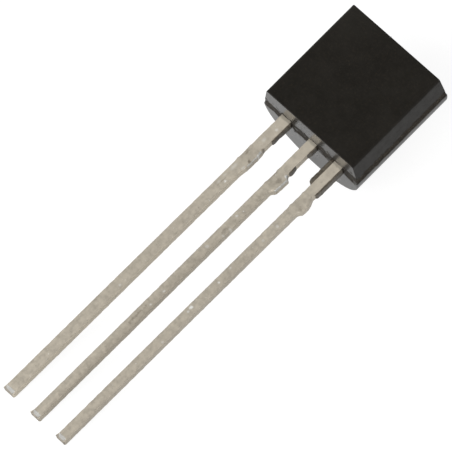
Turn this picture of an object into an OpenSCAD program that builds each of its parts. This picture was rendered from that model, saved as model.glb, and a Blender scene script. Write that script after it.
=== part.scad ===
// Three-lead plastic transistor package: a D-shaped epoxy moulding round a stamped lead frame.
//
// The part is drawn upright in its package frame and then laid down. In the package frame +X is to
// the right, +Y runs from the flat towards the round back, and +Z runs away from the leads. X = 0 is
// the middle of the round back, and Z = 0 is its lead end where it meets the belt. The part then lies
// as it comes to rest on a table: on the lead-end edge of its round back and on the tips of its leads,
// with the flat up and the leads towards -Y. The origin is the bottom centre of the part lying there.

/* [Moulding] */
// Width of the moulding, which is also the diameter of its round back
body_w = 4.58; // [4.4:0.01:5.0]
// Height of the round back where it meets the belt
back_h = 4.58; // [4.3:0.01:5.2]
// Depth of the front part, from the flat to the parting plane
front_d = 1.04; // [0.9:0.01:1.2]
// Depth of the belt between the parting plane and the round back
belt_d = 0.4; // [0.38:0.01:0.6]
// How far the belt widens towards the round back, on the left side
belt_left_step = 0.045; // [0:0.005:0.1]
// How far the belt widens towards the round back, on the right side
belt_right_step = 0.005; // [0:0.005:0.1]
// How far the belt grows towards the round back, at each end
belt_end_step = 0.05; // [0:0.01:0.08]
// Width of the flat
flat_w = 4.22; // [3.8:0.01:4.5]
// Height of the flat
flat_h = 4.4; // [3.8:0.01:4.48]
// Sideways offset of the flat, to the right
flat_shift = 0.05; // [0:0.01:0.1]
// Radius along the two side edges of the flat
flat_edge_r = 0.1; // [0.05:0.01:0.2]
// Draft of the round back's two ends, in degrees
end_draft = 0.5; // [0:0.5:5]

/* [Mould marks] */
// Diameter of the ejector pin's mark on the round back
ejector_d = 1.2; // [0.8:0.1:1.6]
// Depth of the ejector pin's mark at the crest of the round back
ejector_depth = 0.05; // [0.02:0.01:0.08]
// Height of the ejector pin's mark above the lead end
ejector_z = 2.9; // [2.0:0.1:3.5]
// Width of the broken-off gate on the end away from the leads
gate_w = 0.9; // [0.5:0.1:1.5]
// Thickness of the broken-off gate
gate_t = 0.22; // [0.1:0.01:0.35]
// Height that is left of the gate
gate_h = 0.06; // [0.02:0.01:0.15]

/* [Leads] */
// Distance from the middle of the lead frame to each outer lead
lead_pitch = 1.28; // [1.1:0.01:1.4]
// Distance that the lead frame sits to the right of the moulding's middle
frame_shift = 0.11; // [0:0.01:0.15]
// Distance that the middle lead sits to the right of the middle of the lead frame
middle_offset = 0.03; // [0:0.01:0.1]
// Width of the collector lead, on the left
collector_w = 0.45; // [0.36:0.01:0.56]
// Width of the other two leads
lead_w = 0.39; // [0.36:0.01:0.56]
// Thickness of the lead frame
lead_t = 0.38; // [0.33:0.01:0.48]
// Length of the leads below the moulding
lead_len = 13.7; // [8:0.01:15]
// Angle that the leads lean to the left, in degrees
lead_lean = 0.5; // [0:0.1:2]
// Length of the sheared slope on the front of each tip
tip_slope_h = 0.12; // [0.05:0.01:0.2]
// Depth of the sheared slope on the front of each tip
tip_slope_d = 0.1; // [0.05:0.01:0.2]

/* [Trimmed dam bar] */
// Distance from the moulding to the stubs of the dam bar
dam_z = 1.46; // [1.4:0.01:1.8]
// Length of the stubs along the leads
dam_h = 0.76; // [0.5:0.01:1.0]
// Length of the slope at each end of a stub
dam_ramp = 0.1; // [0.05:0.01:0.2]
// Height of the stub on the right of the collector lead
collector_stub = 0.05; // [0.02:0.01:0.2]
// Height of the stub on the right of the base lead
base_stub = 0.15; // [0.02:0.01:0.2]
// Height of the stub on the right of the emitter lead
emitter_stub = 0.12; // [0.02:0.01:0.2]
// Height of the stubs on the left of the leads
left_stub = 0.02; // [0.01:0.01:0.1]

/* [Flash] */
// Width of the thin strips of epoxy along the sides of the leads
flash_w = 0.05; // [0.03:0.01:0.08]
// Width of the wide strip of epoxy on the left of the emitter lead
wide_flash_w = 0.14; // [0.08:0.01:0.2]
// Length of the strip on the right of the collector lead
collector_flash = 0.93; // [0.5:0.01:1.2]
// Length of the strip on the right of the base lead
base_flash = 1.36; // [0.5:0.01:1.4]
// Length of the strips on both sides of the emitter lead
emitter_flash = 1.3; // [0.5:0.01:1.4]
// Length over which the strips narrow to their ends
flash_end = 0.2; // [0.1:0.01:0.3]

/* [Lead frame inside] */
// Clearance between the lead frame's separate pieces inside the moulding
frame_gap = 0.32; // [0.2:0.01:0.4]
// Height of the base lead's head above the lead end
head_z = 0.75; // [0.6:0.01:0.9]
// Width of the base lead's head
head_w = 0.8; // [0.6:0.01:0.95]
// Height of the base lead's head
head_h = 0.5; // [0.4:0.01:0.6]
// Height of the die paddle
paddle_h = 1.8; // [1.4:0.01:2.0]
// Width that the paddle stands out to the left of its lead
paddle_ear = 0.12; // [0.05:0.01:0.25]
// Diameter of the hole that locks the paddle in the moulding
lock_d = 0.36; // [0.2:0.01:0.4]
// Height of the emitter lead's post above the lead end
post_z = 1.1; // [0.9:0.01:1.3]
// Height of the emitter lead's post
post_h = 1.6; // [1.2:0.01:1.9]
// Width that the post stands out on each side of its lead
post_ear = 0.12; // [0.05:0.01:0.2]

/* [Die and wires] */
// Width and height of the silicon die
die_w = 0.8; // [0.5:0.01:0.9]
// Thickness of the silicon die
die_t = 0.2; // [0.15:0.01:0.25]
// Thickness of the adhesive under the die
attach_t = 0.02; // [0.01:0.005:0.03]
// Width of the adhesive that shows round the die
attach_rim = 0.05; // [0.03:0.01:0.08]
// Diameter of the gold bond wires
wire_d = 0.05; // [0.03:0.005:0.06]
// Height that the wires rise above the die
wire_rise = 0.2; // [0.1:0.01:0.25]
// Diameter of the ball bonds on the die
ball_d = 0.13; // [0.1:0.01:0.16]
// Height of the ball bonds on the die
ball_h = 0.04; // [0.03:0.005:0.05]
// Distance of each ball bond from the middle of the die, across and along it
pad_offset = 0.2; // [0.1:0.01:0.22]
// Distance of each wire's other end below the top of the head or post that it is bonded to
bond_inset = 0.25; // [0.15:0.01:0.3]

/* [Hidden] */
$fn = 96;

epoxy = [0.15, 0.15, 0.14];
tin = [0.7, 0.67, 0.6];
silicon = [0.35, 0.37, 0.42];
silver = [0.75, 0.75, 0.74];
gold = [0.9, 0.72, 0.3];

// Moulding
back_r = body_w / 2;
back_y = front_d + belt_d;
body_d = back_y + back_r;
end_rise = back_r * tan(end_draft);
mid_z = back_h / 2;
front_left = back_r - belt_left_step;
front_right = back_r - belt_right_step;

// How deep the gate stub and the strips of flash are rooted in the moulding
root = 0.1;

// How far a shape that cuts another runs past it
over = 1;

// Lead frame, as places across the front
collector_x = frame_shift - lead_pitch;
base_x = frame_shift + middle_offset;
emitter_x = frame_shift + lead_pitch;
dam_end_z = dam_z + dam_h;
head_top = head_z + head_h;
post_left = emitter_x - lead_w / 2 - post_ear;
post_right = emitter_x + lead_w / 2 + post_ear;
post_top = post_z + post_h;
paddle_left = collector_x - collector_w / 2 - paddle_ear;
paddle_right = post_left - frame_gap;
paddle_z = head_top + frame_gap;
paddle_top = paddle_z + paddle_h;
lock_x = collector_x;
lock_z = paddle_top - lock_d;

// Die, in the free part of the paddle beside the locking hole
die_x = (lock_x + lock_d / 2 + paddle_right) / 2;
die_z = paddle_z + paddle_h / 2;
die_face = front_d - attach_t - die_t;
die_h = attach_t + die_t;

// Ends of the two wires, as [x, z]
base_pad = [die_x - pad_offset, die_z - pad_offset];
base_bond = [base_x, head_top - bond_inset];
emitter_pad = [die_x + pad_offset, die_z + pad_offset];
emitter_bond = [emitter_x, post_top - bond_inset];
stitch_l = 3 * wire_d;
stitch_w = 2 * wire_d;
stitch_t = wire_d / 2;

// Lying on the round back's edge and the tips of the leads
rest_tilt = atan((body_d - front_d - lead_t) / (lead_len + end_rise));
floor_drop = body_d * cos(rest_tilt) - end_rise * sin(rest_tilt);
far_y = body_d * sin(rest_tilt) + (back_h - end_rise) * cos(rest_tilt);
near_y = (front_d + tip_slope_d) * sin(rest_tilt) - lead_len * cos(rest_tilt);

// How far the leads' lean moves a point that lies at height z
function lean_x(z) = z < 0 ? z * tan(lead_lean) : 0;

// Lays the package down
module at_rest() {
    translate([0, -(far_y + near_y) / 2, floor_drop])
        rotate([rest_tilt - 90, 0, 0])
            children();
}

// Extrudes an outline drawn as [x, z] from depth y to depth y + t
module from_front(y, t) {
    translate([0, y + t, 0])
        rotate([90, 0, 0])
            linear_extrude(t)
                children();
}

// Extrudes an outline drawn as [y, z] across the width of the part
module from_side() {
    translate([-body_w, 0, 0])
        rotate([90, 0, 90])
            linear_extrude(2 * body_w)
                children();
}

// ---- Moulding ----

// Right or left part of the front's plan, from the middle line of the flat to a side that stands at
// the given distance on the parting plane and draws in to the flat, with a radius along that edge
module side_plan(side) {
    half_flat = flat_w / 2;
    draft = atan((side - half_flat) / front_d);
    edge_len = flat_edge_r / tan(45 + draft / 2);
    polygon([
        [0, 0],
        [half_flat - edge_len, 0],
        [half_flat + edge_len * sin(draft), edge_len * cos(draft)],
        [side, front_d],
        [0, front_d]
    ]);
    translate([half_flat - edge_len, flat_edge_r])
        circle(flat_edge_r);
}

// Plan of the front, drawn from the middle line of the flat
module front_plan() {
    side_plan(front_right - flat_shift);
    mirror([1, 0])
        side_plan(front_left + flat_shift);
}

// Plan of the belt, which widens from the front to the round back
module belt_plan() {
    polygon([
        [-front_left, front_d],
        [front_right, front_d],
        [back_r, back_y],
        [-back_r, back_y]
    ]);
}

// Plan of the round back
module back_plan() {
    intersection() {
        translate([0, back_y])
            circle(back_r);
        translate([-body_w, back_y])
            square([2 * body_w, body_w]);
    }
}

// A plan given a height that runs past both ends
module tall() {
    translate([0, 0, -over])
        linear_extrude(back_h + 2 * over)
            children();
}

// The three plans, cut at both ends: the belt grows from the front to the round back, and both are
// drafted away from it
module moulding_block() {
    intersection() {
        union() {
            tall()
                translate([flat_shift, 0])
                    front_plan();
            tall()
                belt_plan();
            tall()
                back_plan();
        }
        from_side()
            polygon([
                [0, mid_z - flat_h / 2],
                [front_d, belt_end_step],
                [back_y, 0],
                [body_d, end_rise],
                [body_d, back_h - end_rise],
                [back_y, back_h],
                [front_d, back_h - belt_end_step],
                [0, mid_z + flat_h / 2]
            ]);
    }
}

// Flat spot that the ejector pin leaves on the round back
module ejector_mark() {
    translate([0, body_d - ejector_depth, ejector_z])
        rotate([-90, 0, 0])
            cylinder(d = ejector_d, h = over);
}

// What is left of the gate, standing on the end away from the leads
module gate_stub() {
    from_front(front_d, gate_t)
        translate([-gate_w / 2, back_h - root])
            square([gate_w, root + gate_h]);
}

// Strip of epoxy, w wide and len long, against the side of a lead whose edge is at x. A negative w
// puts the strip on the left of that edge. The strip narrows to half its width at its end.
module flash_strip(x, w, len) {
    full = len - flash_end;
    from_front(front_d, lead_t)
        polygon([
            [x, root],
            [x + w, root],
            [x + w, 0],
            [x + w + lean_x(-full), -full],
            [x + w / 2 + lean_x(-len), -len],
            [x + lean_x(-len), -len],
            [x, 0]
        ]);
}

module all_flash() {
    flash_strip(collector_x + collector_w / 2, flash_w, collector_flash);
    flash_strip(base_x + lead_w / 2, flash_w, base_flash);
    flash_strip(emitter_x + lead_w / 2, flash_w, emitter_flash);
    flash_strip(emitter_x - lead_w / 2, -wide_flash_w, emitter_flash);
}

// The moulding fills every space round the lead frame, the die and the wires
module moulded_body() {
    color(epoxy)
        at_rest()
            difference() {
                union() {
                    moulding_block();
                    gate_stub();
                    all_flash();
                }
                ejector_mark();
                collector_shape();
                base_shape();
                emitter_shape();
                attach_shape();
                die_shape();
                base_wire_shape();
                emitter_wire_shape();
            }
}

// ---- Lead frame ----

// Outline of a lead from inside the moulding down to its tip, with the stubs of the dam bar
module lead_outline(x, w, stub, top) {
    left = x - w / 2;
    right = x + w / 2;
    polygon([
        [left, top],
        [left, 0],
        [left + lean_x(-dam_z), -dam_z],
        [left - left_stub + lean_x(-dam_z - dam_ramp), -dam_z - dam_ramp],
        [left - left_stub + lean_x(dam_ramp - dam_end_z), dam_ramp - dam_end_z],
        [left + lean_x(-dam_end_z), -dam_end_z],
        [left + lean_x(-lead_len), -lead_len],
        [right + lean_x(-lead_len), -lead_len],
        [right + lean_x(-dam_end_z), -dam_end_z],
        [right + stub + lean_x(dam_ramp - dam_end_z), dam_ramp - dam_end_z],
        [right + stub + lean_x(-dam_z - dam_ramp), -dam_z - dam_ramp],
        [right + lean_x(-dam_z), -dam_z],
        [right, 0],
        [right, top]
    ]);
}

// Everything in front of the sheared slopes of the tips is cut away
module tip_side() {
    from_side()
        polygon([
            [front_d - over, back_h],
            [front_d - over, tip_slope_h - lead_len],
            [front_d, tip_slope_h - lead_len],
            [front_d + tip_slope_d, -lead_len],
            [front_d + tip_slope_d, -lead_len - over],
            [body_d, -lead_len - over],
            [body_d, back_h]
        ]);
}

// A stamped piece of the lead frame, from an outline drawn as [x, z]
module stamped() {
    intersection() {
        from_front(front_d, lead_t)
            children();
        tip_side();
    }
}

// Left lead, which widens into the paddle that carries the die
module collector_shape() {
    stamped()
        difference() {
            union() {
                lead_outline(collector_x, collector_w, collector_stub, paddle_z + paddle_h / 2);
                translate([paddle_left, paddle_z])
                    square([paddle_right - paddle_left, paddle_h]);
            }
            translate([lock_x, lock_z])
                circle(d = lock_d);
        }
}

// Middle lead, with a head that takes the base wire
module base_shape() {
    stamped()
        union() {
            lead_outline(base_x, lead_w, base_stub, head_z + head_h / 2);
            translate([base_x - head_w / 2, head_z])
                square([head_w, head_h]);
        }
}

// Right lead, with a tall post that takes the emitter wire
module emitter_shape() {
    stamped()
        union() {
            lead_outline(emitter_x, lead_w, emitter_stub, post_z + post_h / 2);
            translate([post_left, post_z])
                square([post_right - post_left, post_h]);
        }
}

module collector_lead() {
    color(tin)
        at_rest()
            collector_shape();
}

module base_lead() {
    color(tin)
        at_rest()
            base_shape();
}

module emitter_lead() {
    color(tin)
        at_rest()
            emitter_shape();
}

// ---- Die and wires ----

module attach_shape() {
    side = die_w + 2 * attach_rim;
    from_front(front_d - attach_t, attach_t)
        translate([die_x - side / 2, die_z - side / 2])
            square(side);
}

module die_shape() {
    from_front(die_face, die_t)
        translate([die_x - die_w / 2, die_z - die_w / 2])
            square(die_w);
}

// One bond wire from a pad on the die to a bond on the lead frame, both as [x, z]. Its loop is the
// upper part of a ring that leaves the die at height die_h, has its crest wire_rise above that and
// comes down to the frame. The crest lies crest_x along the wire, where the ring passes through both
// ends: a * crest_x^2 + 2 * span * crest_x + c = 0.
module wire_shape(pad, bond) {
    run = bond - pad;
    span = norm(run);
    crest_h = die_h + wire_rise;
    a = crest_h / wire_rise - 1;
    c = crest_h * (wire_rise - crest_h) - span * span;
    crest_x = (sqrt(span * span - a * c) - span) / a;
    ring_r = (crest_x * crest_x + wire_rise * wire_rise) / (2 * wire_rise);
    translate([pad[0], front_d, pad[1]])
        rotate([0, -atan2(run[1], run[0]), 0])
            rotate([180, 0, 0]) {
                intersection() {
                    translate([crest_x, crest_h - ring_r, 0])
                        rotate_extrude()
                            translate([ring_r, 0])
                                circle(d = wire_d);
                    translate([0, 0, -over])
                        linear_extrude(2 * over)
                            polygon([
                                [-over, die_h],
                                [crest_x, die_h],
                                [crest_x, 0],
                                [span + over, 0],
                                [span + over, crest_h + over],
                                [-over, crest_h + over]
                            ]);
                }
                translate([0, die_h, 0])
                    rotate([-90, 0, 0])
                        cylinder(d = ball_d, h = ball_h);
                translate([span - stitch_l / 2, 0, -stitch_w / 2])
                    cube([stitch_l, stitch_t, stitch_w]);
            }
}

module base_wire_shape() {
    wire_shape(base_pad, base_bond);
}

module emitter_wire_shape() {
    wire_shape(emitter_pad, emitter_bond);
}

module silicon_die() {
    color(silicon)
        at_rest()
            die_shape();
}

module die_attach() {
    color(silver)
        at_rest()
            attach_shape();
}

module base_bond_wire() {
    color(gold)
        at_rest()
            base_wire_shape();
}

module emitter_bond_wire() {
    color(gold)
        at_rest()
            emitter_wire_shape();
}

moulded_body();
collector_lead();
base_lead();
emitter_lead();
silicon_die();
die_attach();
base_bond_wire();
emitter_bond_wire();
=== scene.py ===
import math
from types import SimpleNamespace

import bmesh
import bpy
import numpy as np
from mathutils import Matrix, Vector, noise


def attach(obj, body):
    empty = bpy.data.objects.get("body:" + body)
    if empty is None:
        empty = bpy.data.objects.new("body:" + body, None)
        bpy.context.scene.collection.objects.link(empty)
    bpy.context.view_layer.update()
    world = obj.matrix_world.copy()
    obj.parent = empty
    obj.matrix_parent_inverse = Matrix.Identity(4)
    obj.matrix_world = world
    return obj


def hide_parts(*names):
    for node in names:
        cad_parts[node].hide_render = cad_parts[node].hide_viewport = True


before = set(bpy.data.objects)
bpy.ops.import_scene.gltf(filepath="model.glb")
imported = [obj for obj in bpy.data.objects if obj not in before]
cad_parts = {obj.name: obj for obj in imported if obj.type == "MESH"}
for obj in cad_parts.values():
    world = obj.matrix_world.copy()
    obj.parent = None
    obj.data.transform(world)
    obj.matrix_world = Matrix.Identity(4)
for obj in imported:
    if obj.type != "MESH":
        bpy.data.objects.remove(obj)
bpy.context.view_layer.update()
scene = bpy.context.scene
MM = 0.001

# ---- The CAD model's own sizes, in millimetres ----
BODY_W = 4.58  # width of the moulding and diameter of its round back
BACK_H = 4.58  # height of the moulding where the round back meets the belt
FRONT_D = 1.04  # depth from the flat to the parting plane
BELT_D = 0.4  # depth of the belt behind the parting plane
BELT_LEFT = 0.045  # how far the belt widens towards the back, on the left
BELT_RIGHT = 0.005  # the same on the right
BELT_END = 0.05  # the same at each end
FLAT_W = 4.22
FLAT_H = 4.4
FLAT_SHIFT = 0.05  # how far the flat sits to the right
FLAT_EDGE_R = 0.1  # radius along the flat's two side edges
END_DRAFT = 0.5  # degrees, on the two ends of the round back

EJECTOR_D = 1.2  # ejector pin's mark on the round back
EJECTOR_DEPTH = 0.05
EJECTOR_Z = 2.9
GATE_W = 0.9  # broken-off gate on the far end
GATE_T = 0.22
GATE_H = 0.06

PITCH = 1.28  # from the middle of the lead frame to each outer lead
FRAME_SHIFT = 0.11  # how far the lead frame sits to the right
MIDDLE = 0.03  # how far the middle lead sits to the right of the frame's middle
COLLECTOR_W = 0.45
LEAD_W = 0.39
LEAD_T = 0.38
LEAD_LEN = 13.7
LEAN = 0.5  # degrees that the leads lean to the left
SLOPE_H = 0.12  # sheared slope on the front of each tip
SLOPE_D = 0.1
DAM_Z = 1.46  # from the moulding to the stubs of the dam bar
DAM_H = 0.76  # length of the stubs along the leads
LEFT_STUB = 0.02

FRAME_GAP = 0.32  # between the lead frame's pieces inside the moulding
HEAD_Z = 0.75  # base lead's head
HEAD_W = 0.8
HEAD_H = 0.5
PADDLE_H = 1.8  # collector's paddle
PADDLE_EAR = 0.12
LOCK_D = 0.36  # hole in the paddle
POST_Z = 1.1  # emitter lead's post
POST_H = 1.6
POST_EAR = 0.12

BACK_R = BODY_W / 2
BACK_Y = FRONT_D + BELT_D
BODY_D = BACK_Y + BACK_R
END_RISE = BACK_R * math.tan(math.radians(END_DRAFT))
MID_Z = BACK_H / 2
FRAME_BACK = FRONT_D + LEAD_T
TIP_Z = -LEAD_LEN
STUB_TOP = -DAM_Z
STUB_END = -DAM_Z - DAM_H

# How the part lies at rest
REST_TILT = math.atan((BODY_D - FRONT_D - LEAD_T) / (LEAD_LEN + END_RISE))
TILT_SIN = math.sin(REST_TILT)
TILT_COS = math.cos(REST_TILT)
FLOOR_DROP = BODY_D * TILT_COS - END_RISE * TILT_SIN
FAR_Y = BODY_D * TILT_SIN + (BACK_H - END_RISE) * TILT_COS
NEAR_Y = (FRONT_D + SLOPE_D) * TILT_SIN - LEAD_LEN * TILT_COS
MIDDLE_Y = (FAR_Y + NEAR_Y) / 2
AT_REST = (
    Matrix.Scale(MM, 4)
    @ Matrix.Translation((0, -MIDDLE_Y, FLOOR_DROP))
    @ Matrix.Rotation(REST_TILT - math.pi / 2, 4, "X")
)
PACKAGE_UP = (0, TILT_COS, TILT_SIN)  # the package's +Z in the CAD model's frame

# What differs from lead to lead:
# slack: how far its left side is drawn in
# burr: how far the left edge of its tip stands out
# stub: how far the dam bar's stub stands out on its right
# stub_r: what is added to the radius of its front edges at the stub
# torn: how the stub ends, as upper end, length of its slope, lower end, length of its slope
# nicks: beads and dents of tin on its right side and back, as x from its middle, z, radius, height
LEADS = {
    "collector": SimpleNamespace(
        x=FRAME_SHIFT - PITCH, w=COLLECTOR_W, seed=1.0, slack=0.008, burr=0.02, stub=0.05, stub_r=0.02,
        torn=(STUB_TOP + 0.2, 0.32, STUB_END - 0.4, 0.5),
        nicks=[(0.055, -0.49, 0.07, 0.02), (0.19, -2.0, 0.06, -0.02), (0.22, -1.7, 0.05, 0.018),
               (0.06, -3.09, 0.05, 0.015), (0.12, -2.3, 0.06, 0.02)]),
    "base": SimpleNamespace(
        x=FRAME_SHIFT + MIDDLE, w=LEAD_W, seed=2.0, slack=0.016, burr=0.045, stub=0.15, stub_r=0.05,
        torn=(STUB_TOP + 0.03, 0.14, STUB_END - 0.12, 0.24),
        nicks=[(0.17, -1.47, 0.08, 0.03), (0.12, -1.72, 0.1, -0.015), (-0.05, -2.1, 0.1, -0.012)]),
    "emitter": SimpleNamespace(
        x=FRAME_SHIFT + PITCH, w=LEAD_W, seed=3.0, slack=0.008, burr=0.025, stub=0.12, stub_r=0.02,
        torn=(STUB_TOP + 0.05, 0.36, STUB_END - 0.04, 0.2),
        nicks=[(0.07, -0.2, 0.04, -0.012), (0.2, -1.95, 0.08, 0.02), (-0.1, -0.6, 0.03, -0.01)]),
}


def lean_x(z):
    """Sideways shift of the leads at height z. Below the moulding it is to the left."""
    return z * math.tan(math.radians(LEAN)) if z < 0 else 0.0


# ---- Small sums ----
def waves(x, y, z):
    """Smooth noise between about -1 and 1."""
    return noise.noise(Vector((x, y, z)))


def smooth_step(a, b, v):
    """Rises from 0 at a to 1 at b."""
    t = min(1.0, max(0.0, (v - a) / (b - a)))
    return t * t * (3 - 2 * t)


def between(p, q, f):
    """The point at the share f of the way from p to q."""
    return p[0] + (q[0] - p[0]) * f, p[1] + (q[1] - p[1]) * f


def on_circle(cx, cy, r, degrees):
    """The point at that angle on a circle."""
    a = math.radians(degrees)
    return cx + r * math.cos(a), cy + r * math.sin(a)


def bend_in(d, r):
    """How far a rounded edge of radius r draws a face in, at the distance d from the edge."""
    return r - math.sqrt(max(0.0, r * r - (r - d) ** 2)) if d < r else 0.0


# ---- Mesh tools ----
WELD = 2e-5  # points closer than this become one, in millimetres


def mesh_object(name, verts, faces):
    mesh = bpy.data.meshes.new(name)
    mesh.from_pydata([tuple(v) for v in verts], [], faces)
    mesh.validate()
    obj = bpy.data.objects.new(name, mesh)
    scene.collection.objects.link(obj)
    return obj


def clean(obj):
    """Merges doubled points and turns the faces outwards. Sizes are still in millimetres."""
    bm = bmesh.new()
    bm.from_mesh(obj.data)
    bmesh.ops.remove_doubles(bm, verts=bm.verts, dist=WELD)
    bmesh.ops.dissolve_degenerate(bm, edges=bm.edges, dist=WELD)
    bmesh.ops.recalc_face_normals(bm, faces=bm.faces)
    bm.to_mesh(obj.data)
    bm.free()


def loft(name, rings):
    """A closed mesh through closed rings of the same number of points, with a face at each end."""
    n = len(rings[0])
    last = (len(rings) - 1) * n
    faces = []
    for start in range(0, last, n):
        for k in range(n):
            a, b = start + k, start + (k + 1) % n
            faces.append((a, b, b + n, a + n))
    faces.append(tuple(reversed(range(n))))
    faces.append(tuple(range(last, last + n)))
    obj = mesh_object(name, [p for ring in rings for p in ring], faces)
    clean(obj)
    return obj


def peg(name, x, y, z, diameter, sides, edge_r, layers, round_parts):
    """A round peg of 1 mm that starts at (x, y, z) and points along +Y, with rounded ends."""
    arc = 360 - 360 / sides

    def circle(r, height):
        points = [on_circle(x, 0.0, r, arc * k / (sides - 1)) for k in range(sides)]
        return [(px, py, height) for px, py in points]

    ends = []
    for k in range(round_parts + 1):
        t = math.pi / 2 * k / round_parts
        ends.append((diameter / 2 - edge_r * (1 - math.sin(t)), edge_r * (1 - math.cos(t))))
    rings = [circle(r, height) for r, height in ends]
    for k in range(1, layers):
        f = k / layers
        rings.append(circle(diameter / 2, edge_r * (1 - f) + (1.0 - edge_r) * f))
    rings += [circle(r, 1.0 - height) for r, height in reversed(ends)]
    obj = loft(name, rings)
    obj.data.transform(Matrix.Translation((0, y, z)) @ Matrix.Rotation(-math.pi / 2, 4, "X"))
    return obj


def apply_modifiers(obj):
    graph = bpy.context.evaluated_depsgraph_get()
    mesh = bpy.data.meshes.new_from_object(obj.evaluated_get(graph))
    obj.modifiers.clear()
    old, obj.data = obj.data, mesh
    bpy.data.meshes.remove(old)


def boolean(obj, other, operation):
    """Joins the other mesh to obj or cuts it out, and deletes it."""
    mod = obj.modifiers.new("bool", "BOOLEAN")
    mod.operation, mod.object, mod.solver = operation, other, "EXACT"
    apply_modifiers(obj)
    bpy.data.objects.remove(other)


def shade(obj, angle):
    """Smooth shading that stops at edges sharper than angle, with flat faces kept flat."""
    mesh = obj.data
    mesh.polygons.foreach_set("use_smooth", [True] * len(mesh.polygons))
    bm = bmesh.new()
    bm.from_mesh(mesh)
    limit = math.radians(angle)
    for e in bm.edges:
        e.smooth = len(e.link_faces) == 2 and e.calc_face_angle(0) < limit
    bm.to_mesh(mesh)
    bm.free()
    mod = obj.modifiers.new("flat faces", "WEIGHTED_NORMAL")
    mod.mode, mod.weight, mod.keep_sharp = "FACE_AREA", 50, True
    apply_modifiers(obj)


def place(obj, materials, slot, *nodes):
    obj.data.transform(AT_REST)
    obj.data.update()
    for m in materials:
        obj.data.materials.append(m)
    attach(obj, "root")
    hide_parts(*nodes)
    return obj


# ---- Moulding ----
END_EDGE_R = 0.03  # radius along the flat's two end edges
CORNER_R = 0.03  # radius along the moulding's corners, from front to back
CORNER_PARTS = 4
RUN_POINTS = 84  # points along each side of a ring
TORN_CORNER = 0.012  # what is added to the corners' radius where the resin is torn
TORN_DEPTH = 0.014  # mean depth of the torn resin
TORN_ROUGH = 0.018  # how much that depth varies
TORN_FADE = 0.03  # distance over which the tear begins and ends
GATE_PARTS = 12
GATE_ROOT = 0.15
STRIP_PARTS = 44
STRIP_ROOT = 0.1  # how far the strips of flash reach up into the moulding
STRIP_END = 0.16  # length of the rounded end of a strip
STRIP_STEP = 0.012  # how far the strips stand behind the leads' front
STRIP_THIN = 0.012  # least width of a strip, where it isn't broken off
STRIP_EDGE_R = 0.02
FLASH_START = -0.03  # below this height the moulding is only the thin flash
EPOXY, FLASH = range(2)


def side_x(y, side):
    """Where the left (-1) or right (1) side of the moulding stands at depth y."""
    flat = FLAT_W / 2 + side * FLAT_SHIFT
    parting = BACK_R - (BELT_RIGHT if side > 0 else BELT_LEFT)
    if y <= FRONT_D:
        return side * (flat + (parting - flat) * y / FRONT_D - bend_in(y, FLAT_EDGE_R))
    if y <= BACK_Y:
        return side * (parting + (BACK_R - parting) * (y - FRONT_D) / BELT_D)
    return side * math.sqrt(max(0.0, BACK_R ** 2 - (y - BACK_Y) ** 2))


def end_z(y):
    """Height of the lead end at depth y."""
    flat = MID_Z - FLAT_H / 2
    if y <= FRONT_D:
        return flat + (BELT_END - flat) * y / FRONT_D + bend_in(y, END_EDGE_R)
    if y <= BACK_Y:
        return BELT_END * (1 - (y - FRONT_D) / BELT_D)
    return END_RISE * (y - BACK_Y) / BACK_R


def body_ring(y):
    """Outline of the moulding at depth y."""
    xl, xr, zl = side_x(y, -1), side_x(y, 1), end_z(y)
    zh = BACK_H - zl
    torn = torn_share(y)
    r = min(CORNER_R + TORN_CORNER * torn, (xr - xl) / 2.2)
    runs = [((xl + r, zl), (xr - r, zl)), ((xr, zl + r), (xr, zh - r)),
            ((xr - r, zh), (xl + r, zh)), ((xl, zh - r), (xl, zl + r))]
    ring = []
    for i, (p, q) in enumerate(runs):
        ring += [between(p, q, k / (RUN_POINTS - 1)) for k in range(RUN_POINTS)]
        following = runs[(i + 1) % 4][0]
        cx, cz = (q[0], following[1]) if i % 2 == 0 else (following[0], q[1])
        for k in range(1, CORNER_PARTS):
            ring.append(on_circle(cx, cz, r, 270 + 90 * i + 90 * k / CORNER_PARTS))
    if torn > 0:
        ring = [tear(x, y, z, torn, (xl, xr), (zl, zh), r * 0.7) for x, z in ring]
    return [(x, y, z) for x, z in ring]


def torn_share(y):
    """How rough the resin is at depth y: 0 but in the plane of the lead frame, where it is torn."""
    if not FRONT_D < y < FRAME_BACK + 0.001:
        return 0.0
    return min(1.0, (y - FRONT_D) / TORN_FADE, (FRAME_BACK - y) / TORN_FADE + 0.2)


def tear(x, y, z, torn, x_range, z_range, near):
    """Draws a point of a torn outline in by an uneven depth. near is how close to a side counts."""
    rough = waves(x * 5, y * 9, z * 5) + 0.6 * waves(x * 15, y * 18, z * 15 + 5)
    depth = torn * (TORN_DEPTH + TORN_ROUGH * rough)
    moved_x, moved_z = x, z
    if min(x - x_range[0], x_range[1] - x) < near:
        moved_x = x + math.copysign(depth * 0.6, sum(x_range) / 2 - x)
    if min(z - z_range[0], z_range[1] - z) < near:
        moved_z = z + math.copysign(depth, sum(z_range) / 2 - z)
    return moved_x, moved_z


def body_depths():
    """Depths of the moulding's rings, closer together at the flat's edges and at the torn resin."""
    depths = [0.0, 0.001, 0.004, 0.009, 0.017, 0.03, 0.045, 0.065, FLAT_EDGE_R]
    depths += [FLAT_EDGE_R + (FRONT_D - FLAT_EDGE_R) * k / 8 for k in range(1, 8)]
    depths += [FRONT_D - 0.012, FRONT_D]
    torn_from = FRONT_D + 0.014
    depths += [torn_from + (FRAME_BACK - torn_from) * k / 12 for k in range(13)]
    depths.append(BACK_Y)
    depths += [BACK_Y + BACK_R * math.sin(math.radians(1.5 * k)) for k in range(1, 60)]
    return depths


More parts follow.
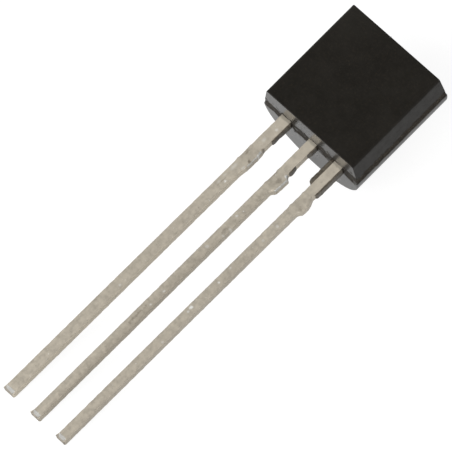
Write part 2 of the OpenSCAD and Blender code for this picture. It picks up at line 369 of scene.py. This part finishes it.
def gate_stub():
    """What is left of the gate on the end away from the leads, with a broken top."""
    root, y0, y1 = BACK_H - GATE_ROOT, FRONT_D + 0.02, FRONT_D + GATE_T
    rows = []
    for i in range(GATE_PARTS + 1):
        x = -GATE_W / 2 + GATE_W * i / GATE_PARTS
        hump = math.sin(math.pi * i / GATE_PARTS) ** 0.5
        top = BACK_H + GATE_H * (0.45 + 0.55 * hump * (0.8 + 0.5 * waves(i * 0.7, 3.1, 0)))
        crest = top + 0.012 * waves(i * 1.3, 0, 7)
        rows.append([(x, y0, root), (x, y1, root), (x, y1 - 0.01, top - 0.02),
                     (x, (y0 + y1) / 2, crest), (x, y0 + 0.03, top - 0.03)])
    return loft("gate", rows)


def whisker():
    """A thin whisker of flash on the parting line of the same end."""
    y = FRONT_D + 0.02
    rows = []
    for x, r, rise in ((-0.56, 0.02, -0.1), (-0.56, 0.016, 0.05), (-0.555, 0.006, 0.16)):
        z = BACK_H + rise
        rows.append([(x - r, y, z), (x, y - r, z), (x + r, y, z), (x, y + r, z)])
    return loft("whisker", rows)


def flash_strip(lead, side, width, length, seed, gap=None):
    """A ragged strip of epoxy on the left (-1) or right (1) side of a lead. gap is where it broke
    off: start, end and depth."""
    x = lead.x + side * lead.w / 2
    rings = []
    for i in range(STRIP_PARTS + 1):
        z = STRIP_ROOT - (length + STRIP_ROOT) * i / STRIP_PARTS
        end = min(1.0, max(0.0, (length + z) / STRIP_END))
        w = width * (0.25 + 0.75 * math.sqrt(max(0.0, 1 - (1 - end) ** 2)))
        w = max(w + 0.012 * waves(seed, z * 9, 0.0) + 0.008 * waves(seed, z * 23, 4.0), STRIP_THIN)
        if gap and gap[0] < -z < gap[1]:
            w -= gap[2] * math.sin(math.pi * (-z - gap[0]) / (gap[1] - gap[0])) ** 0.8
        y0 = FRONT_D + STRIP_STEP + 0.012 * waves(seed, z * 7, 9.0)
        y1 = FRAME_BACK - 0.01
        r = min(STRIP_EDGE_R, max(0.002, w * 0.4))
        inner = x - side * 0.03
        outer = x + side * w
        bulge = outer + side * 0.01 * waves(seed, z * 12, 2.0)
        outline = [(inner, y0), (outer - side * r, y0), (outer - side * 0.3 * r, y0 + 0.3 * r),
                   (outer, y0 + r), (bulge, (y0 + y1) / 2), (outer, y1 - r), (outer - side * r, y1),
                   (inner, y1)]
        rings.append([(px + lean_x(z), py, z) for px, py in outline])
    return loft("flash", rings)


def make_moulding():
    body = loft("moulding", [body_ring(y) for y in body_depths()])
    pin = peg("pin", 0.0, BODY_D - EJECTOR_DEPTH, EJECTOR_Z, EJECTOR_D,
              sides=64, edge_r=0.012, layers=2, round_parts=3)
    boolean(body, pin, "DIFFERENCE")
    collector, base, emitter = LEADS["collector"], LEADS["base"], LEADS["emitter"]
    grown = [
        gate_stub(),
        whisker(),
        flash_strip(collector, 1, width=0.055, length=0.93, seed=1.0, gap=(0.42, 0.8, 0.02)),
        flash_strip(base, 1, width=0.05, length=1.36, seed=2.0, gap=(0.3, 1.16, 0.085)),
        flash_strip(emitter, 1, width=0.068, length=1.32, seed=3.0),
        flash_strip(emitter, -1, width=0.15, length=1.12, seed=4.0),
    ]
    for piece in grown:
        boolean(body, piece, "UNION")
    clean(body)
    shade(body, 28.0)
    for f in body.data.polygons:
        f.material_index = FLASH if f.center.z < FLASH_START else EPOXY
    return body


# ---- Leads ----
STREAK_H = SLOPE_H + 0.02  # the shear's slope is drawn a little taller than in the solids
SCOOP_W = 0.86  # width of the slope's scoop, as a share of the lead's
BURR_H = 0.16  # height of the burr on the left of a tip
CHIP = 0.035  # how far the right corner of a tip is sheared off
CHIP_H = 0.05
LEFT_HUMPS = (STUB_TOP - 0.08, STUB_END + 0.06)  # where the dam bar's edges stand out on the left
HUMP_H = 0.07
ROOT_TOP = 0.2  # how far the leads are drawn ring by ring into the moulding
EDGE_R = 0.015  # radius of a lead's front edges near the moulding
WORN_R = 0.03  # what is added to it below the flash
BACK_EDGE_R = 0.02
INNER_EDGE_R = 0.012
FINE_STEP = 0.02  # between the rings of a lead at its tip and stub
COARSE_STEP = 0.045  # between the others
TIN, CUT, CLIPPED, WORN = range(4)


def lead_ring(xl, xr, z, front_r, back_r):
    """Section of a lead at height z, from xl to xr, with rounded corners."""
    most = min(xr - xl, LEAD_T) / 2.2
    f, b = min(front_r, most), min(back_r, most)
    corners = [(xr - f, FRONT_D + f, f, 270), (xr - b, FRAME_BACK - b, b, 0),
               (xl + b, FRAME_BACK - b, b, 90), (xl + f, FRONT_D + f, f, 180)]
    ring = []
    for i, (cx, cy, r, angle) in enumerate(corners):
        ring += [on_circle(cx, cy, r, angle + 90 * k / 3) for k in range(4)]
        p = ring[-1]
        q = on_circle(*corners[(i + 1) % 4])
        parts = 5 if i % 2 == 0 else 6
        ring += [between(p, q, k / parts) for k in range(1, parts)]
    return [(x, y, z) for x, y in ring]


def lead_heights():
    """Heights of a lead's rings from the tip up, closer together at the tip and round the stub."""
    heights = []
    z = TIP_Z
    while z < ROOT_TOP:
        heights.append(z)
        close = z < TIP_Z + 0.3 or STUB_END - 0.45 < z < STUB_TOP + 0.15
        z += FINE_STEP if close else COARSE_STEP
    return heights


def lead_section(lead, z):
    """A lead's ring at height z: straight sides, then the dam bar's stubs, the tip and the unevenness
    of the sides."""
    tip = z + LEAD_LEN
    seed = lead.seed
    left = lead.x - lead.w / 2 + lean_x(z)
    right = lead.x + lead.w / 2 + lean_x(z)
    if z < 0:
        left += lead.slack
    top, top_slope, low, low_slope = lead.torn
    in_stub = smooth_step(low, low + low_slope, z) * (1 - smooth_step(top - top_slope, top, z))
    rough = 0.6 * waves(seed, z * 6, 0.5) + 0.4 * waves(seed, z * 17, 1.5)
    right += lead.stub * in_stub * (1 + 0.22 * rough)
    in_hump = max(math.exp(-((z - hump_z) / HUMP_H) ** 2) for hump_z in LEFT_HUMPS)
    left -= LEFT_STUB * in_stub * 0.5 + LEFT_STUB * in_hump
    left -= lead.burr * (1 - smooth_step(0.0, BURR_H, tip))
    right -= CHIP * (1 - smooth_step(0.0, CHIP_H, tip))
    if z < 0:
        wobble = 0.006 if z > -0.05 else 0.009
        left += wobble * waves(seed + 10, z * 5.0, 0) + 0.004 * waves(seed + 11, z * 15, 0)
        right += wobble * waves(seed + 20, z * 5.0, 0) + 0.004 * waves(seed + 21, z * 15, 0)
    front_r = EDGE_R + WORN_R * smooth_step(1.3, 1.5, -z) + lead.stub_r * in_stub
    ring = lead_ring(left, right, z, front_r, BACK_EDGE_R)
    if tip < STREAK_H:
        middle = (left + right) / 2
        ring = [(x, sheared_y(y, (x - middle) / (lead.w / 2), tip), z) for x, y, z in ring]
    return ring


def sheared_y(y, across, tip):
    """Depth of a point on the shear's slope, a shallow scoop in the middle of the front. across runs
    from -1 to 1 over the lead, and tip is the height over its end."""
    if y >= FRONT_D + 0.2:
        return y
    scoop = max(0.0, 1 - (abs(across) / SCOOP_W) ** 6)
    return max(y, FRONT_D + SLOPE_D * max(0.0, 1 - tip / STREAK_H) * (0.35 + 0.65 * scoop))


def inner_outline(kind):
    """Left, right, foot and top of the lead's paddle, head or post inside the moulding."""
    lead = LEADS[kind]
    left, right = lead.x - lead.w / 2, lead.x + lead.w / 2
    if kind == "collector":
        foot = HEAD_Z + HEAD_H + FRAME_GAP
        post_left = LEADS["emitter"].x - LEAD_W / 2 - POST_EAR
        return left - PADDLE_EAR, post_left - FRAME_GAP, foot, foot + PADDLE_H
    if kind == "base":
        return lead.x - HEAD_W / 2, lead.x + HEAD_W / 2, HEAD_Z, HEAD_Z + HEAD_H
    return left - POST_EAR, right + POST_EAR, POST_Z, POST_Z + POST_H


def roughen(obj, lead):
    """Fine unevenness of the plating outside the moulding, and the lead's nicks."""
    mesh = obj.data
    co = np.empty(len(mesh.vertices) * 3)
    mesh.vertices.foreach_get("co", co)
    co = co.reshape(-1, 3)
    normals = np.array([v.normal[:] for v in mesh.vertices])
    for i, (p, n) in enumerate(zip(co, normals)):
        if p[2] > -0.02:
            continue
        height = 0.0035 * waves(p[0] * 9 + lead.seed * 7, p[1] * 9, p[2] * 3.2)
        height += 0.002 * waves(p[0] * 22, p[1] * 22 + lead.seed * 5, p[2] * 15)
        if n[1] >= 0.5 or n[0] > 0.5:
            for nick_x, nick_z, r, nick_height in lead.nicks:
                dist = math.hypot(p[0] - lead.x - nick_x - lean_x(nick_z), p[2] - nick_z)
                if dist < r * 1.6:
                    height += nick_height * math.exp(-(dist / (r * 0.6)) ** 2)
        co[i] = p + n * height
    mesh.vertices.foreach_set("co", co.ravel())
    mesh.update()


def mark_cuts(obj, lead, stub_is_bare):
    """Gives the sheared faces their own metals: the tip's end and slope, and the stub's cut edge."""
    for f in obj.data.polygons:
        c, n = f.center, f.normal
        tip = c.z + LEAD_LEN
        if tip < STREAK_H and n.z < -0.25:
            f.material_index = WORN
        if stub_is_bare and STUB_END + 0.06 < c.z < STUB_TOP + 0.02 and n.x > 0.3 and n.y < -0.2:
            f.material_index = CUT
        in_middle = abs(c.x - lead.x - lean_x(c.z)) < lead.w * 0.34
        if 0.045 < tip < STREAK_H + 0.02 and n.y < -0.3 and in_middle:
            f.material_index = CLIPPED


def make_lead(kind):
    lead = LEADS[kind]
    rings = [lead_section(lead, z) for z in lead_heights()]
    left, right, foot, top = inner_outline(kind)
    inside = ((foot, lead.x - lead.w / 2, lead.x + lead.w / 2), (foot, left, right), (top, left, right))
    rings += [lead_ring(xl, xr, z, INNER_EDGE_R, INNER_EDGE_R) for z, xl, xr in inside]
    obj = loft(kind + "_tinned_lead", rings)
    if kind == "collector":
        hole = peg("hole", lead.x, FRONT_D - 0.3, top - LOCK_D, LOCK_D,
                   sides=48, edge_r=0.01, layers=1, round_parts=1)
        boolean(obj, hole, "DIFFERENCE")
        clean(obj)
    roughen(obj, lead)
    shade(obj, 40.0)
    mark_cuts(obj, lead, kind != "emitter")
    return obj


# ---- Node trees ----
class Nodes:
    """A node tree. Each call adds a node and returns its output. Its arguments are numbers, vectors,
    colours as (red, green, blue), or the outputs of other nodes."""

    def __init__(self, tree):
        self.nodes = tree.nodes
        self.links = tree.links

    def feed(self, socket, value):
        if isinstance(value, bpy.types.NodeSocket):
            self.links.new(value, socket)
        elif socket.type == "RGBA":
            socket.default_value = (*value, 1)
        else:
            socket.default_value = value

    def put(self, kind, output, inputs, **settings):
        """Adds a node with these settings and inputs, and returns its output of that name or number."""
        node = self.nodes.new("ShaderNode" + kind)
        for name, value in settings.items():
            setattr(node, name, value)
        for key, value in inputs.items():
            self.feed(node.inputs[key], value)
        return node.outputs[output]

    def coords(self, scale=(1, 1, 1)):
        """Object coordinates in millimetres, turned so that the leads run along Y."""
        metres = self.put("TexCoord", "Object", {})
        turned = self.put("Mapping", "Vector", {
            "Vector": metres, "Rotation": (-REST_TILT, 0, 0), "Scale": (1 / MM, 1 / MM, 1 / MM)})
        return self.put("Mapping", "Vector", {"Vector": turned, "Scale": scale})

    def noise(self, vector, scale, detail=2.0, rough=0.5):
        return self.put("TexNoise", "Fac", {
            "Vector": vector, "Scale": scale, "Detail": detail, "Roughness": rough})

    def ramp(self, value, stops):
        """Colour ramp through stops of (position, colour)."""
        node = self.nodes.new("ShaderNodeValToRGB")
        elements = node.color_ramp.elements
        while len(elements) < len(stops):
            elements.new(0.5)
        for element, (position, colour) in zip(elements, stops):
            element.position = position
            element.color = (*colour, 1)
        self.feed(node.inputs["Fac"], value)
        return node.outputs["Color"]

    def remap(self, value, start, end, low=0.0, high=1.0):
        """Runs from start, where the value is low, to end, where it is high."""
        return self.put("MapRange", "Result", {
            "Value": value, "From Min": low, "From Max": high, "To Min": start, "To Max": end})

    def sum(self, operation, *values):
        return self.put("Math", 0, dict(enumerate(values)), operation=operation)

    def plus(self, a, b):
        return self.sum("ADD", a, b)

    def minus(self, a, b):
        return self.sum("SUBTRACT", a, b)

    def times(self, a, b):
        return self.sum("MULTIPLY", a, b)

    def times_plus(self, a, b, c):
        return self.sum("MULTIPLY_ADD", a, b, c)

    def blend(self, share, a, b):
        """Colour a where the share is 0, and b where it is 1."""
        return self.put("Mix", 2, {"Factor": share, 6: a, 7: b}, data_type="RGBA")

    def bump(self, height, strength, distance, normal=None):
        inputs = {"Height": height, "Strength": strength, "Distance": distance}
        if normal:
            inputs["Normal"] = normal
        return self.put("Bump", "Normal", inputs)

    def dot(self, vector, way):
        return self.put("VectorMath", "Value", {0: vector, 1: way}, operation="DOT_PRODUCT")

    def facing(self, way):
        """1 where the surface faces that way, and 0 where it runs along it."""
        return self.dot(self.put("NewGeometry", "Normal", {}), way)

    def package_axis(self, way, offset):
        """Distance along an axis of the package frame, in millimetres."""
        in_mm = tuple(c / MM for c in way)
        return self.plus(self.dot(self.put("TexCoord", "Object", {}), in_mm), offset)

    def package_x(self):
        return self.package_axis((1, 0, 0), 0.0)

    def package_y(self):
        return self.package_axis((0, TILT_SIN, -TILT_COS), TILT_SIN * MIDDLE_Y + TILT_COS * FLOOR_DROP)

    def package_z(self):
        return self.package_axis(PACKAGE_UP, TILT_COS * MIDDLE_Y - TILT_SIN * FLOOR_DROP)


class Material(Nodes):
    """A new material. set() gives its shader's values."""

    def __init__(self, name):
        self.material = bpy.data.materials.new(name)
        self.material.use_nodes = True
        super().__init__(self.material.node_tree)
        self.shader = self.nodes["Principled BSDF"]

    def set(self, name, value):
        self.feed(self.shader.inputs[name], value)


# ---- Epoxy ----
RESIN = (0.0110, 0.0100, 0.0083)
PALER_RESIN = (0.0135, 0.0121, 0.0100)
RESIN_SPECK = (0.030, 0.024, 0.017)
CORNER_RESIN = (0.028, 0.0265, 0.0225)
TORN_RESIN = (0.018, 0.0155, 0.0125)
TORN_PALER = (0.036, 0.031, 0.025)
TORN_CRUMB = (0.10, 0.083, 0.06)
# The torn resin darkened as painted shade on the two ends.
TORN_PAINTED_SHADE_ON_END = (0.012, 0.011, 0.009)


def shade_of_resin(m, v, x, z, cloud):
    """Smooth resin with pale specks, a little paler towards the far left corner of the flat."""
    colour = m.ramp(cloud, [(0.3, RESIN), (0.7, PALER_RESIN)])
    specks = m.remap(m.noise(v, 13.0, 3.0, 0.7), 0.0, 0.5, 0.52, 0.80)
    colour = m.blend(specks, colour, RESIN_SPECK)
    corner = m.times(m.remap(x, 0.3, 0.0, -2.1, -0.3), m.remap(z, 0.0, 1.0, 2.2, 4.2))
    return m.blend(corner, colour, CORNER_RESIN)


def torn_band_and_painted_shade(m, v, x, y, z, along, on_end):
    """1 where the resin is torn, in the plane of the lead frame, with ragged edges. The band is widened
    in front on the right of the ends, but not at the emitter lead, as painted shade for the shadows and
    reflections of the flash strips there, and it is wider behind on their left."""
    ragged = m.minus(m.noise(v, 3.6, 4.0, 0.65), 0.5)
    ragged = m.times(ragged, m.remap(along, 0.5, 1.9, 0.3, 0.6))
    ragged = m.times(ragged, m.remap(z, 1.0, 0.5, 1.0, 3.0))
    ragged_y = m.plus(ragged, y)
    from_emitter = m.sum("ABSOLUTE", m.minus(x, LEADS["emitter"].x))
    # Painted shade: the band widens in front on the right of the ends, away from the emitter lead.
    wider = m.times(on_end, m.remap(x, 0.05, 0.22, 0.3, 0.7))
    wider = m.times(wider, m.remap(from_emitter, 0.0, 1.0, 0.18, 0.32))
    behind = m.times(on_end, m.remap(x, -0.07, 0.0, -1.2, -0.8))
    start = m.remap(m.plus(ragged_y, wider), 0.0, 1.0, FRONT_D - 0.08, FRONT_D + 0.03)
    stop = m.remap(m.plus(ragged_y, behind), 1.0, 0.0, FRAME_BACK - 0.05, FRAME_BACK + 0.1)
    return m.times(start, stop)


def epoxy_material():
    """Fine-grained black resin. along is 1 on the two ends of the moulding, and 0 all round it."""
    m = Material("black_epoxy")
    v = m.coords()
    x, y, z = m.package_x(), m.package_y(), m.package_z()
    along = m.sum("ABSOLUTE", m.facing(PACKAGE_UP))
    on_end = m.remap(along, 0.0, 1.0, 0.3, 0.6)
    cloud = m.noise(v, 1.6, 3.0, 0.55)
    torn = torn_band_and_painted_shade(m, v, x, y, z, along, on_end)
    crumbs = [(0.3, TORN_RESIN), (0.56, TORN_PALER), (0.72, TORN_CRUMB)]
    torn_colour_with_painted_shade = m.ramp(m.noise(v, 16.0, 3.0, 0.6), crumbs)
    # Painted shade: the torn resin is made darker on the two ends than on the sides.
    torn_colour_with_painted_shade = m.blend(m.times(on_end, 0.33), torn_colour_with_painted_shade, TORN_PAINTED_SHADE_ON_END)
    # The torn mask also carries the painted shade in front on the right of the ends.
    m.set("Base Color", m.blend(torn, shade_of_resin(m, v, x, z, cloud), torn_colour_with_painted_shade))
    # The round back is glossier than the flat's half, and the mould's ends are polished more finely
    end = m.remap(along, 0.10, 0.81, 0.6, 0.8)
    finish = m.sum("MAXIMUM", end, m.remap(y, 0.10, 0.98, BACK_Y - 0.01, BACK_Y + 0.01))
    finish = m.times(finish, m.remap(m.noise(v, 3.2, 5.0, 0.7), 0.68, 1.02, 0.36, 0.58))
    m.set("Specular IOR Level", m.times(finish, m.remap(torn, 1.0, 0.27)))
    rough = m.times_plus(end, -0.05, m.remap(cloud, 0.30, 0.36, 0.3, 0.7))
    m.set("Roughness", m.times_plus(torn, 0.45, rough))
    m.set("IOR", 1.5)
    m.set("Normal", m.bump(m.noise(v, 22.0, 3.0, 0.6), 0.5, 0.004 * MM))
    return m.material


# ---- Tin ----
BARE = (0.86, 0.87, 0.85)
# This colour is also the painted light on the right sides of the left and middle leads.
BRIGHT = (0.66, 0.60, 0.49)
STAINED = (0.13, 0.105, 0.075)
BARE_GRAIN = (0.80, 0.80, 0.77)
# This colour is the resin stain, and also the soft painted shade just below the moulding.
RESIN_STAIN_AND_SHADE = (0.24, 0.22, 0.18)

# Places on the leads where the tin is bare or stained: x, z, radius across, how many times longer it
# is along the lead, how strong it is, colour
PATCHES = [
    (0.08, -8.5, 1.1, 6, 0.08, STAINED), (1.36, -11.0, 1.1, 6, 0.09, STAINED),
    (-1.2, -3.0, 0.9, 2.2, 0.13, BRIGHT), (-1.115, -0.49, 0.08, 1, 0.75, BARE),
    (-1.185, -1.07, 0.1, 1.2, 0.35, BARE), (-0.928, -1.64, 0.05, 1.3, 0.8, BARE),
    (-1.108, -3.07, 0.055, 1.2, 0.75, BARE), (-1.270, -2.48, 0.08, 2.6, 0.22, BARE),
    (-0.994, -2.31, 0.06, 2, 0.25, BARE), (-1.292, -2.92, 0.06, 2, 0.2, BARE),
    (-1.270, -3.24, 0.06, 1.5, 0.18, BARE), (-1.152, -8.30, 0.06, 1, 0.3, BARE),
    (0.360, -1.51, 0.09, 1, 0.85, BARE), (0.088, -3.73, 0.06, 1.2, 0.42, BARE),
    (0.272, -4.23, 0.07, 1, 0.35, BARE), (0.250, -4.58, 0.06, 1, 0.32, BARE),
    (0.114, -5.22, 0.09, 1, 0.3, BARE), (0.158, -7.42, 0.05, 1.4, 0.45, BARE),
    (0.150, -8.09, 0.05, 1.3, 0.5, BARE), (0.066, -8.71, 0.05, 9, 0.4, STAINED),
    (1.423, -3.04, 0.07, 1, 0.3, BARE), (1.401, -3.75, 0.06, 1, 0.22, BARE),
    (1.269, -5.24, 0.06, 1.2, 0.4, BARE), (1.354, -5.89, 0.06, 1, 0.6, BARE),
    (1.269, -7.20, 0.07, 1.2, 0.7, BARE), (1.306, -7.39, 0.05, 1.2, 0.4, BARE),
    (1.423, -8.78, 0.06, 1.2, 0.25, BARE), (-1.001, -1.99, 0.07, 1, 0.7, STAINED),
    (-0.955, -1.34, 0.07, 1.2, 0.8, STAINED), (-1.295, -1.81, 0.06, 1.5, 0.4, STAINED),
    (0.287, -1.80, 0.13, 1, 0.35, STAINED), (1.468, -0.28, 0.05, 1.4, 0.5, STAINED),
    (1.549, -2.05, 0.09, 1, 0.3, STAINED), (-1.185, -1.82, 0.45, 1, 0.14, STAINED),
    (0.121, -1.89, 0.45, 1, 0.08, STAINED), (1.379, -1.96, 0.4, 1, 0.08, STAINED),
    (-1.203, -3.14, 0.03, 6, 0.3, STAINED), (0.121, -4.50, 0.04, 4, 0.3, STAINED),
    (0.195, -2.86, 0.16, 2, 0.08, STAINED), (1.335, -4.64, 0.08, 2, 0.18, STAINED),
    (-1.203, -5.28, 0.12, 2, 0.12, STAINED), (0.21, -8.6, 0.2, 44, 0.17, STAINED),
    (-1.25, -7.0, 1.2, 6, 0.08, STAINED), (1.37, -5.2, 0.6, 2.2, 0.13, STAINED),
    (1.39, -0.3, 0.3, 1, 0.2, STAINED), (-1.19, -0.85, 0.35, 1, 0.14, STAINED),
]


def tinted(colour, factor):
    """The colour made paler or darker by a factor."""
    return tuple(min(1.0, c * factor) for c in colour)


def plated(m, v, base, mottle):
    """Tin with lengthwise streaks, bare pale grains and small brown stains."""
    drawn = m.noise(m.coords((9, 1.2, 9)), 1.0, 3.0, 0.55)
    mixed = m.times_plus(mottle, 0.75, m.times(drawn, 0.25))
    tone = m.ramp(mixed, [(0.36, tinted(base, 0.85)), (0.5, base), (0.64, tinted(base, 1.105))])
    grains = m.remap(m.noise(v, 11.0, 2.0, 0.5), 0.0, 0.8, 0.69, 0.78)
    tone = m.blend(grains, tone, BARE_GRAIN)
    brown = m.remap(m.noise(m.coords((1.0, 0.8, 1.3)), 7.0, 3.0, 0.6), 0.55, 0.0, 0.24, 0.33)
    return m.blend(brown, tone, tinted(base, 0.45))


def painted_light_on_right_sides(m, x, z):
    """Painted light: paler tin on the right sides of the left and middle leads, making up for the light
    that the neighbouring leads block, apart from the dam bar's stubs.
    """
    side = m.remap(m.facing((1, 0, 0)), 0.0, 0.65, 0.45, 0.8)
    side = m.times(side, m.remap(x, 1.0, 0.0, -0.9, 1.3))
    above = m.remap(z, 0.0, 1.0, STUB_TOP, STUB_TOP + 0.1)
    below = m.remap(z, 1.0, 0.0, STUB_END - 0.12, STUB_END + 0.03)
    return m.times(side, m.sum("MAXIMUM", above, below))


def patched(m, tone, x, z, ripple):
    """Adds the patches, with rippled edges."""
    for patch_x, patch_z, radius, long, amount, colour in PATCHES:
        dx = m.sum("POWER", m.minus(x, patch_x), 2.0)
        dz = m.sum("POWER", m.times(m.minus(z, patch_z), 1 / long), 2.0)
        far = m.plus(m.sum("SQRT", m.plus(dx, dz)), ripple)
        tone = m.blend(m.remap(far, amount, 0.0, radius * 0.35, radius), tone, colour)
    return tone


def painted_lift_and_stain_near_moulding(m, tone, z, base, mottle):
    """Painted highlight: paler tin towards the moulding, offsetting the shade that the moulding casts
    on the leads. Then a soft darkening below the moulding, partly resin stain and partly painted shade,
    and a stain of resin where the lead leaves it.
    """
    # Painted highlight: paler tin towards the moulding.
    tone = m.blend(m.remap(z, 0.0, 0.65, -1.6, -0.2), tone, tinted(base, 1.3))
    edge = m.times_plus(mottle, 0.12, z)
    # Soft darkening below the moulding: partly resin stain, partly painted shade.
    tone = m.blend(m.remap(edge, 0.0, 0.2, -0.5, 0.1), tone, RESIN_STAIN_AND_SHADE)
    return m.blend(m.remap(edge, 0.0, 0.64, -0.02, 0.03), tone, RESIN_STAIN_AND_SHADE)


def tin_material(name, base, rough, metallic):
    """Plated metal of the colour base, with the patches and stains of the leads, painted light on the
    right sides of the left and middle leads, and painted highlight and shade near the moulding.
    """
    m = Material(name)
    v = m.coords()
    x, z = m.package_x(), m.package_z()
    mottle = m.noise(v, 6.5, 5.0, 0.68)
    # Painted light: the right sides of the left and middle leads are blended towards the pale BRIGHT
    # tin.
    tone = m.blend(painted_light_on_right_sides(m, x, z), plated(m, v, base, mottle), BRIGHT)
    tone = patched(m, tone, x, z, m.times_plus(mottle, 0.2, -0.1))
    m.set("Base Color", painted_lift_and_stain_near_moulding(m, tone, z, base, mottle))
    m.set("Roughness", m.remap(mottle, rough - 0.05, rough + 0.08, 0.3, 0.7))
    m.set("Metallic", metallic)
    coarse = m.bump(mottle, 0.35, 0.012 * MM)
    m.set("Normal", m.bump(m.noise(v, 24.0, 3.0, 0.6), 0.3, 0.004 * MM, coarse))
    return m.material


# ---- Thin flash and the pieces sealed inside ----
def clouded_material(name, low, high, metallic, rough, scale):
    """Soft clouds between two colours. scale is how fine they are."""
    m = Material(name)
    cloud = m.noise(m.coords(), scale, 3.0)
    m.set("Base Color", m.ramp(cloud, [(0.3, low), (0.7, high)]))
    m.set("Roughness", m.remap(cloud, rough - 0.06, rough + 0.06, 0.3, 0.7))
    m.set("Metallic", metallic)
    return m.material


# ---- The part ----
epoxy = epoxy_material()
flash = clouded_material(
    "thin_flash", (0.045, 0.037, 0.026), (0.095, 0.079, 0.055), metallic=0.0, rough=0.5, scale=14.0)
place(make_moulding(), [epoxy, flash], "epoxy", "moulded_body")

# In the order of TIN, CUT, CLIPPED and WORN
lead_metals = [
    tin_material("tinned_metal", (0.462, 0.418, 0.344), rough=0.5, metallic=0.65),
    tin_material("sheared_metal", (0.56, 0.56, 0.535), rough=0.42, metallic=0.7),
    tin_material("clipped_metal", (0.335, 0.33, 0.312), rough=0.6, metallic=0.5),
    tin_material("worn_end", (0.26, 0.235, 0.20), rough=0.65, metallic=0.35),
]
for kind in LEADS:
    place(make_lead(kind), lead_metals, "tinned_metal", kind + "_lead")

silicon = clouded_material(
    "silicon", (0.09, 0.1, 0.13), (0.14, 0.15, 0.18), metallic=0.3, rough=0.2, scale=4.0)
adhesive = clouded_material(
    "silver_adhesive", (0.42, 0.42, 0.41), (0.6, 0.6, 0.58), metallic=0.6, rough=0.5, scale=30.0)
gold = clouded_material(
    "gold", (0.78, 0.52, 0.16), (0.86, 0.62, 0.24), metallic=1.0, rough=0.25, scale=12.0)
sealed = {
    "silicon_die": silicon,
    "die_attach": adhesive,
    "base_bond_wire": gold,
    "emitter_bond_wire": gold,
}
for name, material in sealed.items():
    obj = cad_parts[name]
    obj.data.materials.clear()
    obj.data.materials.append(material)

# ---- Floor: a pale table that the camera and the reflections see as nearly white ----
FLOOR_HALF = 0.4  # metres
SEEN_WHITE = 1.18  # strength of the white that is mixed in
CAMERA_SHARE = 0.74
GLOSSY_SHARE = 0.24  # of the camera's share, for reflections


def table_material():
    m = Material("white_table")
    cloud = m.noise(m.coords(), 0.15, 2.0)
    m.set("Base Color", m.ramp(cloud, [(0.3, (0.72, 0.72, 0.72)), (0.7, (0.74, 0.74, 0.74))]))
    m.set("Roughness", 0.9)
    m.set("Specular IOR Level", 0.1)
    white = m.put("Emission", 0, {"Color": (1, 1, 1), "Strength": SEEN_WHITE})
    seen = m.put("LightPath", "Is Camera Ray", {})
    glossy = m.times(m.put("LightPath", "Is Glossy Ray", {}), GLOSSY_SHARE)
    share = m.times(m.sum("MAXIMUM", seen, glossy), CAMERA_SHARE)
    mixed = m.put("MixShader", 0, {0: share, 1: m.shader.outputs[0], 2: white})
    m.feed(m.nodes["Material Output"].inputs["Surface"], mixed)
    return m.material


corners = [(-1, -1), (1, -1), (1, 1), (-1, 1)]
floor = mesh_object("floor", [(FLOOR_HALF * x, FLOOR_HALF * y, 0) for x, y in corners], [(0, 1, 2, 3)])
floor.data.materials.append(table_material())

# ---- Light ----
SKY = [(0.0, 1.0), (0.5, 1.0), (0.7, 0.7), (0.85, 0.33), (1.0, 0.2)]  # height and grey level
SKY_STRENGTH = 0.72


def make_sky():
    """A soft dome, bright at the horizon, that the camera sees as white."""
    world = bpy.data.worlds.new("studio")
    world.use_nodes = True
    scene.world = world
    m = Nodes(world.node_tree)
    height = m.put("SeparateXYZ", "Z", {0: m.put("TexCoord", "Generated", {})})
    dome = m.ramp(height, [(z, (grey, grey, grey)) for z, grey in SKY])
    shown = m.blend(m.put("LightPath", "Is Camera Ray", {}), dome, (1, 1, 1))
    background = m.nodes["Background"]
    m.feed(background.inputs["Color"], shown)
    m.feed(background.inputs["Strength"], SKY_STRENGTH)


def softbox(name, azimuth, elevation, distance, width, height, watts):
    """A lamp towards azimuth (0 is +X, 90 is +Y) that looks at the object."""
    light = bpy.data.lights.new(name, "AREA")
    light.shape, light.size, light.size_y = "RECTANGLE", width, height
    light.energy = watts
    obj = bpy.data.objects.new(name, light)
    a, e = math.radians(azimuth), math.radians(elevation)
    way = Vector((math.cos(a) * math.cos(e), math.sin(a) * math.cos(e), math.sin(e)))
    obj.location = way * distance
    obj.rotation_mode = "QUATERNION"
    obj.rotation_quaternion = way.to_track_quat("Z", "Y")
    scene.collection.objects.link(obj)


make_sky()
softbox("key", azimuth=256, elevation=44, distance=0.5, width=0.45, height=0.35, watts=2.75)
softbox("fill", azimuth=335, elevation=24, distance=0.5, width=0.4, height=0.3, watts=0.45)

# ---- Camera ----
CAMERA_AT = (65.1436, -68.2721, 196.6930)  # millimetres
CAMERA_WAY = (-0.300697, 0.315710, -0.899949)
CAMERA_ROLL = -1.4425  # degrees
CAMERA_LENS = 493.88
CAMERA_SENSOR = 36.0
CAMERA_SHIFT = 0.00185


def make_camera():
    data = bpy.data.cameras.new("camera")
    data.sensor_width = CAMERA_SENSOR
    data.lens = CAMERA_LENS
    data.shift_x, data.shift_y = CAMERA_SHIFT, CAMERA_SHIFT
    data.clip_start, data.clip_end = 0.005, 20.0
    camera = bpy.data.objects.new("camera", data)
    scene.collection.objects.link(camera)
    scene.camera = camera
    forward = Vector(CAMERA_WAY).normalized()
    level_right = forward.cross(Vector((0, 0, 1))).normalized()
    level_up = level_right.cross(forward)
    roll = math.radians(CAMERA_ROLL)
    right = level_right * math.cos(roll) - level_up * math.sin(roll)
    up = level_up * math.cos(roll) + level_right * math.sin(roll)
    turned = Matrix((right, up, -forward)).transposed()
    camera.matrix_world = Matrix.Translation(Vector(CAMERA_AT) * MM) @ turned.to_4x4()


make_camera()
scene.view_settings.view_transform = "Standard"
